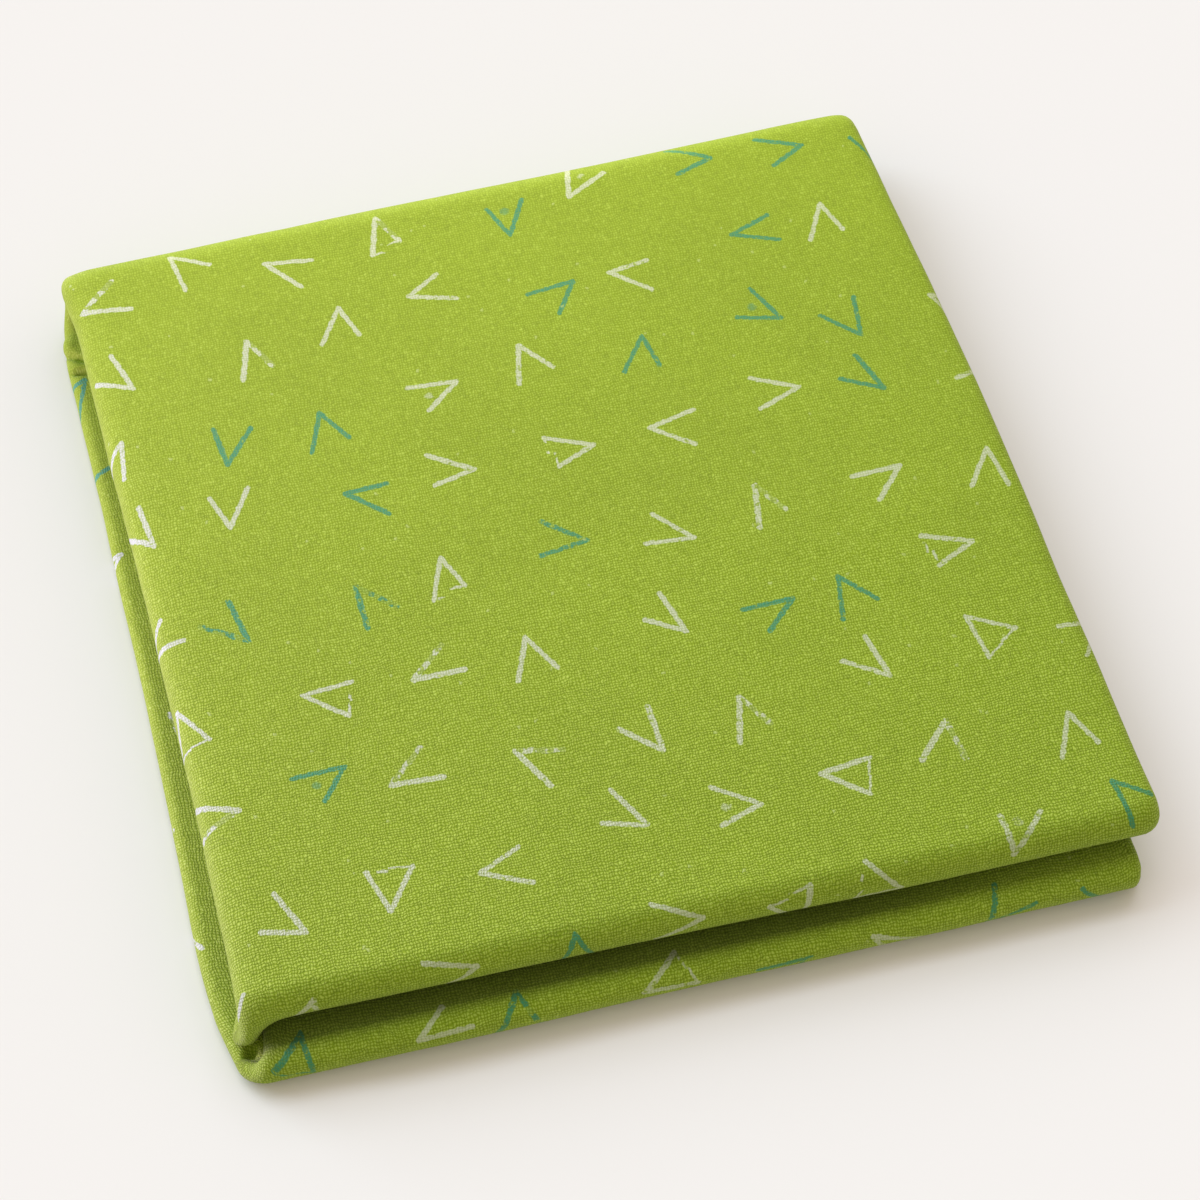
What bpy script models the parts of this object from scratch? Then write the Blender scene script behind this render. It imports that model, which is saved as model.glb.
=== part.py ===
"""A folded length of printed cotton, as it lies on a table.

One sheet is folded both ways. Its two long sides are turned in until they meet along the middle,
which makes a strip of two plies. Both ends of the strip are then turned in to its middle, and the
strip is closed there like a book. So four strips lie on each other: from below, the bottom, the lower
return, the upper return and the top. The book's spine is at the back and both end folds are in front.

Metres, +Z up, +X to the right and -Y to the front. The underside is flat, at z = 0.
"""

import math

import bmesh
import bpy
from mathutils import Vector

# Driving dimensions of the packet and of its one sheet.
PACKET_HEIGHT = 0.0270
SHEET_THICKNESS = 0.0024
PLY_PITCH = 0.0034
SPINE_CORNER_RADIUS = 0.0078
FREE_END_CLEARANCE = 0.0035
SLIT = 0.0020

# Sizes that follow from them.
STRIP_THICKNESS = PLY_PITCH + SHEET_THICKNESS
STRIP_PITCH = (PACKET_HEIGHT - STRIP_THICKNESS) / 3.0
END_FOLD_RADIUS = STRIP_PITCH / 2.0
SIDE_FOLD_RADIUS = PLY_PITCH / 2.0

# Height of each strip's middle.
LEVEL = {
    "bottom": STRIP_THICKNESS / 2.0,
    "lower_return": STRIP_THICKNESS / 2.0 + STRIP_PITCH,
    "upper_return": STRIP_THICKNESS / 2.0 + 2.0 * STRIP_PITCH,
    "top": STRIP_THICKNESS / 2.0 + 3.0 * STRIP_PITCH,
}

# The folds across the strip. Each reaches so far at the packet's left and right, runs between two
# ends, and draws back into the packet's corners by a depth over a width.
FOLD_COLUMNS = (
    "name",
    "at_left", "at_right",
    "left_end", "right_end",
    "left_retreat", "right_retreat",
    "left_width", "right_width",
)
FOLDS = (
    ("lower_front", -0.1330, -0.1366, -0.1245, 0.1205, 0.0022, 0.0010, 0.008, 0.005),
    ("spine", 0.1316, 0.1327, -0.1250, 0.1210, 0.0010, 0.0012, 0.010, 0.008),
    ("upper_front", -0.1230, -0.1290, -0.1230, 0.1254, 0.0000, 0.0017, 0.010, 0.006),
)
PACKET_HALF_WIDTH = 0.125

# The run of the strip, from the sheet's lower free end to its upper one. Each stretch has a length, a
# number of segments along it, and how far along it the first and the last quarter of them reach.
STRETCH_COLUMNS = ("name", "length", "segments", "quarter", "three_quarters")
STRETCHES = (
    ("lower_return", 0.248, 6, 0.60, 0.96),
    ("lower_front", 0.012, 9, 0.25, 0.75),
    ("bottom", 0.248, 10, 0.05, 0.92),
    ("spine", 0.036, 12, 0.25, 0.75),
    ("top", 0.248, 10, 0.08, 0.90),
    ("upper_front", 0.012, 9, 0.25, 0.75),
    ("upper_return", 0.248, 9, 0.05, 0.24),
)

# Where the strip's left and right edges run. A place is a stretch and how far along it, from 0 to 1.
EDGE_COLUMNS = ("stretch", "along", "left", "right")
EDGES = (
    ("lower_return", 0.00, -0.1140, 0.1178),
    ("lower_return", 0.75, -0.1120, 0.1176),
    ("lower_return", 0.90, -0.1096, 0.1178),
    ("lower_return", 0.97, -0.1104, 0.1182),
    ("lower_front", 0.21, -0.1186, 0.1177),
    ("lower_front", 0.45, -0.1203, 0.1171),
    ("lower_front", 0.72, -0.1236, 0.1193),
    ("bottom", 0.03, -0.1258, 0.1200),
    ("bottom", 0.12, -0.1276, 0.1202),
    ("bottom", 0.50, -0.1268, 0.1215),
    ("bottom", 0.96, -0.1277, 0.1201),
    ("spine", 0.10, -0.1265, 0.1200),
    ("spine", 0.45, -0.1243, 0.1198),
    ("top", 0.01, -0.1242, 0.1193),
    ("top", 0.06, -0.1230, 0.1198),
    ("top", 0.28, -0.1218, 0.1224),
    ("top", 0.50, -0.1206, 0.1237),
    ("top", 0.75, -0.1202, 0.1239),
    ("top", 0.94, -0.1207, 0.1240),
    ("upper_front", 0.50, -0.1217, 0.1248),
    ("upper_front", 0.90, -0.1236, 0.1234),
    ("upper_return", 0.03, -0.1208, 0.1224),
    ("upper_return", 0.15, -0.1165, 0.1224),
    ("upper_return", 1.00, -0.1165, 0.1180),
)

# The upper front fold's left end hangs down and forward past the set-back lower return. The hang
# starts at one x and is full at another, on the fold's face and underneath.
NOSE_DROP = 0.0068
NOSE_PUSH = 0.0022
NOSE_START_X = -0.1085
NOSE_FULL_X_ON_FACE = -0.1195
NOSE_FULL_X_UNDER = -0.1172
NOSE_LENGTH = 0.035

# How the strip rolls down towards its side folds: how deep and how wide.
ROLL_COLUMNS = ("stretch", "left_drop", "left_width", "right_drop", "right_width")
ROLLS = (
    ("top", 0.0032, 0.011, 0.0012, 0.008),
    ("upper_return", 0.0010, 0.008, 0.0008, 0.008),
)

# The grid across the sheet: segments round each side fold, and how far from the fold the points on the
# flat plies lie. They are closer together beside the folds, where the cloth bends.
SIDE_FOLD_SEGMENTS = 6
INSETS = (0.0, 0.0020, 0.0045, 0.0085, 0.0180, 0.0600)


def ease(value):
    """A soft step from 0 to 1."""
    value = min(max(value, 0.0), 1.0)
    return value * value * (3.0 - 2.0 * value)


def mix(start, end, amount):
    return start + (end - start) * amount


def row_of(name, columns, table):
    """The table's row for this name, as a dictionary."""
    return next(dict(zip(columns, row)) for row in table if row[0] == name)


def fold_reach(name, x):
    """How far the fold reaches at x."""
    row = row_of(name, FOLD_COLUMNS, FOLDS)
    reach = mix(row["at_left"], row["at_right"], ease(0.5 + 0.5 * x / PACKET_HALF_WIDTH))
    into_left = 1.0 - (x - row["left_end"]) / row["left_width"]
    into_right = 1.0 - (row["right_end"] - x) / row["right_width"]
    retreat = row["left_retreat"] * ease(into_left) + row["right_retreat"] * ease(into_right)
    return reach - math.copysign(retreat, reach)


def run_place(stretch, along):
    """Where a place lies on the strip's whole run."""
    start = 0.0
    for row in STRETCHES:
        length = row[1]
        if row[0] == stretch:
            return start + length * along
        start += length
    raise ValueError(stretch)


def slope_at(knots, index):
    """The curve's slope at a knot. It is flat at a highest or lowest one, so no swing goes past it."""
    secants = []
    for near, far in zip(knots[max(index - 1, 0):index + 1], knots[max(index, 1):index + 2]):
        secants.append((far[1] - near[1]) / (far[0] - near[0]))
    if len(secants) == 1:
        return secants[0]
    if secants[0] * secants[1] <= 0.0:
        return 0.0
    return 2.0 * secants[0] * secants[1] / (secants[0] + secants[1])


def curve_through(knots, place):
    """A smooth curve through pairs of a place and a value."""
    place = min(max(place, knots[0][0]), knots[-1][0])
    index = max(number for number, knot in enumerate(knots[:-1]) if knot[0] <= place)
    near, far = knots[index], knots[index + 1]
    length = far[0] - near[0]
    amount = (place - near[0]) / length
    rest = 1.0 - amount
    value = near[1] * rest * rest * (1.0 + 2.0 * amount) + far[1] * amount * amount * (3.0 - 2.0 * amount)
    bend = slope_at(knots, index) * rest - slope_at(knots, index + 1) * amount
    return value + length * amount * rest * bend


def edge_at(stretch, along, column):
    """The left or right edge of the strip at a place."""
    rows = [dict(zip(EDGE_COLUMNS, row)) for row in EDGES]
    knots = [(run_place(row["stretch"], row["along"]), row[column]) for row in rows]
    return curve_through(knots, run_place(stretch, along))


def arc_point(center_y, center_z, radius, heading):
    """A point of a left-hand turn, and the heading there."""
    return center_y + radius * math.sin(heading), center_z - radius * math.cos(heading), heading


def front_fold_point(name, lower, upper, along, x):
    center_y = fold_reach(name, x) + STRIP_THICKNESS / 2.0 + END_FOLD_RADIUS
    center_z = (LEVEL[lower] + LEVEL[upper]) / 2.0
    return arc_point(center_y, center_z, END_FOLD_RADIUS, math.pi * (1.0 + along))


def spine_point(along, x):
    """The spine: a round corner, a short upright wall and a second round corner."""
    center_y = fold_reach("spine", x) - STRIP_THICKNESS / 2.0 - SPINE_CORNER_RADIUS
    low_z = LEVEL["bottom"] + SPINE_CORNER_RADIUS
    high_z = LEVEL["top"] - SPINE_CORNER_RADIUS
    corner = 0.4
    if along <= corner:
        return arc_point(center_y, low_z, SPINE_CORNER_RADIUS, math.pi / 2.0 * along / corner)
    if along >= 1.0 - corner:
        turned = (along - 1.0 + corner) / corner
        return arc_point(center_y, high_z, SPINE_CORNER_RADIUS, math.pi / 2.0 * (1.0 + turned))
    height = mix(low_z, high_z, (along - corner) / (1.0 - 2.0 * corner))
    return center_y + SPINE_CORNER_RADIUS, height, math.pi / 2.0


def strip_point(stretch, along, x):
    """The middle of the strip at a place: its y and z, and its heading in the YZ plane."""
    if stretch == "lower_front":
        return front_fold_point(stretch, "bottom", "lower_return", along, x)
    if stretch == "upper_front":
        return front_fold_point(stretch, "upper_return", "top", along, x)
    if stretch == "spine":
        return spine_point(along, x)
    fold = "lower_front" if stretch in ("bottom", "lower_return") else "upper_front"
    front_y = fold_reach(fold, x) + STRIP_THICKNESS / 2.0 + END_FOLD_RADIUS
    spine_y = fold_reach("spine", x) - STRIP_THICKNESS / 2.0 - SPINE_CORNER_RADIUS
    free_y = fold_reach("spine", x) - STRIP_THICKNESS - FREE_END_CLEARANCE
    ends = {
        "lower_return": (free_y, front_y, math.pi),
        "bottom": (front_y, spine_y, 0.0),
        "top": (spine_y, front_y, math.pi),
        "upper_return": (front_y, free_y, 0.0),
    }
    start_y, end_y, heading = ends[stretch]
    return mix(start_y, end_y, along), LEVEL[stretch], heading


def nose_hang(stretch, along, y, x):
    """The share of the nose's hang that a point takes."""
    under = ease(2.0 * along - 1.0) if stretch == "upper_front" else 1.0
    full_x = mix(NOSE_FULL_X_ON_FACE, NOSE_FULL_X_UNDER, under)
    across = min(max((NOSE_START_X - x) / (NOSE_START_X - full_x), 0.0), 1.0) ** 3
    if stretch == "upper_front":
        return across * ease(along)
    if stretch == "upper_return":
        foot = fold_reach("upper_front", x) + STRIP_THICKNESS / 2.0 + END_FOLD_RADIUS
        return across * (1.0 - ease((y - foot) / NOSE_LENGTH))
    return 0.0


def roll_drop(stretch, along, x):
    """How far the strip has rolled down at x. The roll runs on round the upper front fold."""
    if stretch == "upper_front":
        return mix(roll_drop("top", 1.0, x), roll_drop("upper_return", 0.0, x), along)
    if stretch == "spine":
        return roll_drop("top", 0.0, x) * ease(2.0 * along - 1.0)
    if stretch not in [row[0] for row in ROLLS]:
        return 0.0
    row = row_of(stretch, ROLL_COLUMNS, ROLLS)
    lean_left = 1.0 - (x - edge_at(stretch, along, "left")) / row["left_width"]
    lean_right = 1.0 - (edge_at(stretch, along, "right") - x) / row["right_width"]
    return row["left_drop"] * roll(lean_left) + row["right_drop"] * roll(lean_right)


def roll(lean):
    """A quarter circle's drop, from 0 to 1."""
    lean = min(max(lean, 0.0), 1.0)
    return 1.0 - math.sqrt(1.0 - lean * lean)


def places_along():
    """Each row of the sheet's grid, as a stretch and how far along it."""
    places = []
    for name, length, segments, quarter, three_quarters in STRETCHES:
        spacing = ((0.0, 0.0), (0.25, quarter), (0.75, three_quarters), (1.0, 1.0))
        first = 1 if places else 0
        places += [(name, curve_through(spacing, step / segments)) for step in range(first, segments + 1)]
    return places


def section(left, right):
    """The strip's cross-section: x, height above the strip's middle and heading, along the sheet."""
    reach = SIDE_FOLD_RADIUS + SHEET_THICKNESS / 2.0
    right_center = right - reach
    left_center = left + reach
    middle = (left + right) / 2.0
    right_xs = [right_center - inset for inset in INSETS]
    left_xs = [left_center + inset for inset in INSETS]
    right_flap = [middle + SLIT / 2.0] + right_xs[:0:-1]
    left_flap = left_xs[1:] + [middle - SLIT / 2.0]
    face = right_xs[1:] + [middle] + left_xs[:0:-1]
    points = [(x, SIDE_FOLD_RADIUS, 0.0) for x in right_flap]
    points += side_fold(right_center, 0.0)
    points += [(x, -SIDE_FOLD_RADIUS, -math.pi) for x in face]
    points += side_fold(left_center, -math.pi)
    points += [(x, SIDE_FOLD_RADIUS, 0.0) for x in left_flap]
    return points


def side_fold(center_x, first_heading):
    """A half turn to the right round a fold, both ends included."""
    headings = [first_heading - math.pi * step / SIDE_FOLD_SEGMENTS for step in range(SIDE_FOLD_SEGMENTS + 1)]
    return [
        (center_x - SIDE_FOLD_RADIUS * math.sin(heading), SIDE_FOLD_RADIUS * math.cos(heading), heading)
        for heading in headings
    ]


def sheet_point(stretch, along, x, height, heading, side):
    """A point of the sheet's printed side (side = 1) or of its back (side = -1)."""
    half = side * SHEET_THICKNESS / 2.0
    x -= half * math.sin(heading)
    height += half * math.cos(heading)
    y, z, direction = strip_point(stretch, along, x)
    y -= height * math.sin(direction)
    z += height * math.cos(direction)
    hang = nose_hang(stretch, along, y, x)
    z -= NOSE_DROP * hang + roll_drop(stretch, along, x)
    return Vector((x, y - NOSE_PUSH * hang, z))


def build_sheet():
    """The whole sheet as one closed mesh: printed side, back and the raw edge between them."""
    mesh = bmesh.new()
    sides = []
    for side in (1, -1):
        grid = []
        for stretch, along in places_along():
            left = edge_at(stretch, along, "left")
            right = edge_at(stretch, along, "right")
            points = [sheet_point(stretch, along, *point, side) for point in section(left, right)]
            grid.append([mesh.verts.new(point) for point in points])
        sides.append(grid)
    for grid in sides:
        for near, far in zip(grid, grid[1:]):
            for index in range(len(near) - 1):
                for corners in halves(near, far, index):
                    mesh.faces.new(corners)
    printed, back = (raw_edge(grid) for grid in sides)
    for index in range(len(printed)):
        mesh.faces.new((printed[index - 1], printed[index], back[index], back[index - 1]))
    center_over_origin(mesh)
    bmesh.ops.recalc_face_normals(mesh, faces=mesh.faces)
    data = bpy.data.meshes.new("folded_cloth")
    mesh.to_mesh(data)
    mesh.free()
    return data


def halves(near, far, index):
    """The two triangles between two rows. A flap's run the other way, to lie level with the face's."""
    if min(index, len(near) - 2 - index) < len(INSETS):
        return (near[index], near[index + 1], far[index]), (near[index + 1], far[index + 1], far[index])
    return (near[index], near[index + 1], far[index + 1]), (near[index], far[index + 1], far[index])


def raw_edge(grid):
    """The vertices round the rim of one side of the sheet, in order."""
    rim = grid[0][:-1]
    rim += [row[-1] for row in grid[:-1]]
    rim += grid[-1][:0:-1]
    rim += [row[0] for row in grid[:0:-1]]
    return rim


def center_over_origin(mesh):
    """Moves the packet so that the middle of its outline is over the origin."""
    shift = Vector((0.0, 0.0, 0.0))
    for axis in (0, 1):
        values = [vertex.co[axis] for vertex in mesh.verts]
        shift[axis] = -(min(values) + max(values)) / 2.0
    bmesh.ops.translate(mesh, verts=mesh.verts, vec=shift)


def cotton():
    """The cloth's ground colour, matte."""
    material = bpy.data.materials.new("printed_cotton")
    material.use_nodes = True
    surface = material.node_tree.nodes["Principled BSDF"]
    surface.inputs["Base Color"].default_value = (0.33, 0.45, 0.05, 1.0)
    surface.inputs["Roughness"].default_value = 0.85
    surface.inputs["Metallic"].default_value = 0.0
    material.diffuse_color = (0.33, 0.45, 0.05, 1.0)
    return material


def main():
    for obj in list(bpy.data.objects):
        bpy.data.objects.remove(obj)
    data = build_sheet()
    data.materials.append(cotton())
    cloth = bpy.data.objects.new("folded_cloth", data)
    bpy.context.scene.collection.objects.link(cloth)
    data.shade_smooth()
    data.set_sharp_from_angle(angle=math.radians(50.0))


main()
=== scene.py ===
import math
import bmesh
import bpy
from mathutils import Matrix, Vector, noise


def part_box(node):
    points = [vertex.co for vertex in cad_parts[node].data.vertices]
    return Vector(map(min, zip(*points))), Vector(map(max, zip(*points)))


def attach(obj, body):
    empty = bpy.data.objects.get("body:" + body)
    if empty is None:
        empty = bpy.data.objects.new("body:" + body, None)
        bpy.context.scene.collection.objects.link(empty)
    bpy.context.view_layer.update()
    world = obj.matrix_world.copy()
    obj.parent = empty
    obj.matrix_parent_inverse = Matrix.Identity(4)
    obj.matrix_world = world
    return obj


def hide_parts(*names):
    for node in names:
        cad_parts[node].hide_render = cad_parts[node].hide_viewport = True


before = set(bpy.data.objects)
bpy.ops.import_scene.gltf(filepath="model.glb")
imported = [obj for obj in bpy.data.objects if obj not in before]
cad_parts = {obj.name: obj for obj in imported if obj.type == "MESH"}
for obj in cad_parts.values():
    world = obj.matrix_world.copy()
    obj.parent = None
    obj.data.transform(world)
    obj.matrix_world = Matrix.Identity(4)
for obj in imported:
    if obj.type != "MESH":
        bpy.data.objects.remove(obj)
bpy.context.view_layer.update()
packetLow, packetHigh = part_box("folded_cloth")
print("frame loaded, packet", [round(1000 * side, 1) for side in packetHigh - packetLow], "mm")

# Camera: the lens in millimetres, and where it stands round the packet's middle, in degrees and metres.
camera = {
    "lens": 96.0,
    "sensor": 36.0,
    "azimuth": -14.99,
    "elevation": 56.14,
    "distance": 0.895,
    "aimHeight": 0.014,
    "offCenter": (-0.0065, 0.0117),  # how far the view's middle is from the aim, right and up
    "nearest": 0.01,
}


def placeCamera():
    azimuth = math.radians(camera["azimuth"])
    elevation = math.radians(camera["elevation"])
    back = Vector((
        math.sin(azimuth) * math.cos(elevation),
        -math.cos(azimuth) * math.cos(elevation),
        math.sin(elevation),
    ))
    right = Vector((math.cos(azimuth), math.sin(azimuth), 0.0))
    up = back.cross(right)
    toRight, toUp = camera["offCenter"]
    place = Vector((0.0, 0.0, camera["aimHeight"]))
    place += camera["distance"] * back - toRight * right - toUp * up
    data = bpy.data.cameras.new("camera")
    data.lens = camera["lens"]
    data.sensor_width = camera["sensor"]
    data.clip_start = camera["nearest"]
    made = bpy.data.objects.new("camera", data)
    made.matrix_world = Matrix.Translation(place) @ Matrix((right, up, back)).transposed().to_4x4()
    bpy.context.scene.collection.objects.link(made)
    bpy.context.scene.camera = made


placeCamera()
print("camera placed")


# The cloth: one sheet folded in two plies one way and in four strips the other way.
cloth = {
    "thickness": 0.0014,
    "stripThickness": 0.0058,   # two plies, over both their outsides
    "spineCorner": 0.0078,      # radius of the strip's middle in the spine's two bends
    "freeEndGap": 0.0035,       # between the free ends and the inside of the spine
    "slit": 0.0020,             # between the two long edges, where they meet inside
    "shoulder": 0.0012,         # how far the lower front fold swells under the upper one
    "shoulderRun": 0.65,        # and over what share of its run
    "paintedShade": 0.24,          # share of the lower front fold's run that takes painted shade under the upper fold
    "paintedShadeRight": (0.03, 0.08, 0.35),   # the painted shade eases off from this x, over this width, down to this share
    "flat": (0.49, 1.04),       # width and length before folding
}
height = packetHigh.z - packetLow.z
stripPitch = (height - cloth["stripThickness"]) / 3.0
endRadius = stripPitch / 2.0
sideRadius = (cloth["stripThickness"] - cloth["thickness"]) / 2.0
level = {
    name: cloth["stripThickness"] / 2.0 + number * stripPitch
    for number, name in enumerate(("bottom", "lowerReturn", "upperReturn", "top"))
}

# Each fold across the strip, at the packet's left and right ends: how far it reaches, where it ends,
# and how far and how wide it draws back into the corner.
folds = {
    "lowerFront": {
        "reach": (-0.1330, -0.1366),
        "ends": (-0.1245, 0.1205),
        "retreat": (0.0022, 0.0010),
        "width": (0.0080, 0.0050),
    },
    "spine": {
        "reach": (0.1316, 0.1327),
        "ends": (-0.1250, 0.1210),
        "retreat": (0.0010, 0.0012),
        "width": (0.0100, 0.0080),
    },
    "upperFront": {
        "reach": (-0.1230, -0.1290),
        "ends": (-0.1230, 0.1254),
        "retreat": (0.0000, 0.0017),
        "width": (0.0100, 0.0060),
    },
}
halfWidth = 0.125  # how far from the middle a fold's reach goes on changing

# The run of the strip from the sheet's lower free end to its upper one: stretch, length, rows, and
# how far along it a quarter and three quarters of its rows reach.
stretches = (
    ("lowerReturn", 0.248, 24, 0.40, 0.97),
    ("lowerFront", 0.012, 20, 0.25, 0.75),
    ("bottom", 0.248, 116, 0.09, 0.91),
    ("spine", 0.036, 26, 0.25, 0.75),
    ("top", 0.248, 118, 0.23, 0.77),
    ("upperFront", 0.012, 24, 0.25, 0.75),
    ("upperReturn", 0.248, 26, 0.03, 0.60),
)
stretchNames = [row[0] for row in stretches]

# The strip's left and right edges: stretch, how far along it, left, right.
edgeRows = (
    ("lowerReturn", 0.00, -0.1150, 0.1178),
    ("lowerReturn", 0.80, -0.1130, 0.1176),
    ("lowerReturn", 0.97, -0.1155, 0.1182),
    ("lowerFront", 0.00, -0.1168, 0.1183),
    ("lowerFront", 0.21, -0.1186, 0.1177),
    ("lowerFront", 0.45, -0.1203, 0.1171),
    ("lowerFront", 0.72, -0.1236, 0.1193),
    ("bottom", 0.00, -0.1243, 0.1198),
    ("bottom", 0.03, -0.1258, 0.1200),
    ("bottom", 0.06, -0.1269, 0.1201),
    ("bottom", 0.12, -0.1276, 0.1202),
    ("bottom", 0.50, -0.1268, 0.1215),
    ("bottom", 0.90, -0.1273, 0.1205),
    ("bottom", 0.96, -0.1277, 0.1201),
    ("spine", 0.10, -0.1265, 0.1200),
    ("spine", 0.45, -0.1243, 0.1198),
    ("spine", 0.90, -0.1246, 0.1192),
    ("top", 0.01, -0.1242, 0.1193),
    ("top", 0.06, -0.1230, 0.1198),
    ("top", 0.28, -0.1218, 0.1224),
    ("top", 0.50, -0.1206, 0.1237),
    ("top", 0.75, -0.1202, 0.1239),
    ("top", 0.94, -0.1207, 0.1240),
    ("upperFront", 0.10, -0.1212, 0.1246),
    ("upperFront", 0.50, -0.1217, 0.1248),
    ("upperFront", 0.90, -0.1236, 0.1234),
    ("upperReturn", 0.03, -0.1208, 0.1224),
    ("upperReturn", 0.15, -0.1165, 0.1224),
    ("upperReturn", 1.00, -0.1165, 0.1180),
)

# The upper front fold's left end hangs forward and down beside the lower plies, which are set back.
nose = {
    "drop": 0.0078,
    "push": 0.0022,
    "startX": -0.1070,
    "fullX": (-0.1195, -0.1172),  # on the fold's face, and underneath
    "length": 0.035,
    "clearX": (-0.110, 0.030),  # where the fold below starts to swell, and over what width
}

# How the strip rolls down towards its side folds: how deep and how wide, left and right.
rolls = {
    "top": ((0.0032, 0.0110), (0.0012, 0.0080)),
    "upperReturn": ((0.0024, 0.0080), (0.0008, 0.0080)),
}

# Small bends of the strip's side folds: wave length and how far they go.
sway = ((0.047, 0.00035), (0.017, 0.00016))
swayPlace = (5.0, 9.0, 0.3)  # in the noise: the left side, the step to the right side, and the depth

# Creases (a step up where the depth is below zero): the stretches they cross, from, to, half width,
# depth, and which way they push the cloth.
creases = (
    (("bottom",), (-0.1184, -0.1215, 0.0060), (-0.1225, -0.1276, 0.0060), 0.0024, 0.0026, (0.1, 0.0, -1.0)),
    (("bottom",), (-0.1278, 0.1146, 0.0044), (-0.1222, 0.1094, 0.0058), 0.0014, 0.0022, (0.4, 0.0, -1.0)),
    (("bottom",), (-0.1268, 0.1067, 0.0054), (-0.1210, 0.1051, 0.0058), 0.0016, 0.0032, (0.2, 0.0, -1.0)),
    (("bottom",), (-0.1284, 0.1180, 0.0035), (-0.1235, 0.1160, 0.0055), 0.0042, -0.0008, (0.8, 0.0, -0.6)),
)

# A crease reaches no further than this many half widths. Its ends have this share of its depth, and
# it is at full depth from a quarter of its run on.
creaseFade = {"near": 3.0, "ends": 0.3, "steepness": 4.0}

# Columns across the sheet.
columns = {
    "flapInsets": (0.0008, 0.0016, 0.0024, 0.0034, 0.0046, 0.0062, 0.0090, 0.0200, 0.0450, 0.0800),
    "fold": 8,
    "face": 90,
    "crowding": 0.45,      # how much closer the face's columns stand beside the folds
    "flapTexture": 0.03,   # each flap's share of the texture's width
    "foldTexture": 0.04,   # and each side fold's
}

# Soft unevenness of the whole cloth: wave length and height.
waves = ((0.060, 0.00045), (0.022, 0.00016), (0.009, 0.00005))
waveUpright = 2.0           # how many times shorter the waves are upright
waveStep = (7.3, 1.7, 0.4)  # in the noise: the step from wave to wave, and two fixed shifts


def ease(value):
    value = min(max(value, 0.0), 1.0)
    return value * value * (3.0 - 2.0 * value)


def mix(start, end, amount):
    return start + (end - start) * amount


def foldReach(name, x):
    fold = folds[name]
    reach = mix(*fold["reach"], ease(0.5 + 0.5 * x / halfWidth))
    away = (x - fold["ends"][0], fold["ends"][1] - x)
    for side in (0, 1):
        back = fold["retreat"][side] * ease(1.0 - away[side] / fold["width"][side])
        reach -= math.copysign(back, reach)
    return reach


def runPlace(stretch, along):
    # Where a row lies on the strip's whole run.
    number = stretchNames.index(stretch)
    return sum(row[1] for row in stretches[:number]) + stretches[number][1] * along


def slopeAt(knots, number):
    # Flat at a highest or lowest knot, so that the curve never swings past one.
    before, here, after = knots[max(number - 1, 0)], knots[number], knots[min(number + 1, len(knots) - 1)]
    secants = [
        (far[1] - near[1]) / (far[0] - near[0])
        for near, far in ((before, here), (here, after)) if far[0] > near[0]
    ]
    if len(secants) == 1:
        return secants[0]
    if secants[0] * secants[1] <= 0.0:
        return 0.0
    return 2.0 * secants[0] * secants[1] / (secants[0] + secants[1])


def curveThrough(knots, place):
    # A smooth curve through (place, value) pairs.
    place = min(max(place, knots[0][0]), knots[-1][0])
    number = max(index for index, knot in enumerate(knots[:-1]) if knot[0] <= place)
    near, far = knots[number], knots[number + 1]
    length = far[0] - near[0]
    part = (place - near[0]) / length
    rest = 1.0 - part
    value = near[1] * rest * rest * (1.0 + 2.0 * part) + far[1] * part * part * (3.0 - 2.0 * part)
    value += length * part * rest * (slopeAt(knots, number) * rest - slopeAt(knots, number + 1) * part)
    return value


def edgesAt(stretch, along):
    place = runPlace(stretch, along)
    edges = []
    for side in (0, 1):
        knots = [(runPlace(row[0], row[1]), row[2 + side]) for row in edgeRows]
        edge = curveThrough(knots, place)
        start, step, depth = swayPlace
        for length, reach in sway:
            edge += reach * noise.noise(Vector((place / length, start + step * side, depth)))
        edges.append(edge)
    return tuple(edges)


def arcPoint(centerY, centerZ, radius, heading):
    return centerY + radius * math.sin(heading), centerZ - radius * math.cos(heading), heading


def frontFoldPoint(name, lower, upper, along, x):
    centerY = foldReach(name, x) + cloth["stripThickness"] / 2.0 + endRadius
    return arcPoint(centerY, (level[lower] + level[upper]) / 2.0, endRadius, math.pi * (1.0 + along))


def spinePoint(along, x):
    radius = cloth["spineCorner"]
    centerY = foldReach("spine", x) - cloth["stripThickness"] / 2.0 - radius
    lowZ = level["bottom"] + radius
    highZ = level["top"] - radius
    corner = 0.4  # share of the spine's run in each bend
    if along <= corner:
        return arcPoint(centerY, lowZ, radius, math.pi / 2.0 * along / corner)
    if along >= 1.0 - corner:
        return arcPoint(centerY, highZ, radius, math.pi / 2.0 * (1.0 + (along - 1.0 + corner) / corner))
    return centerY + radius, mix(lowZ, highZ, (along - corner) / (1.0 - 2.0 * corner)), math.pi / 2.0


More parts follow.
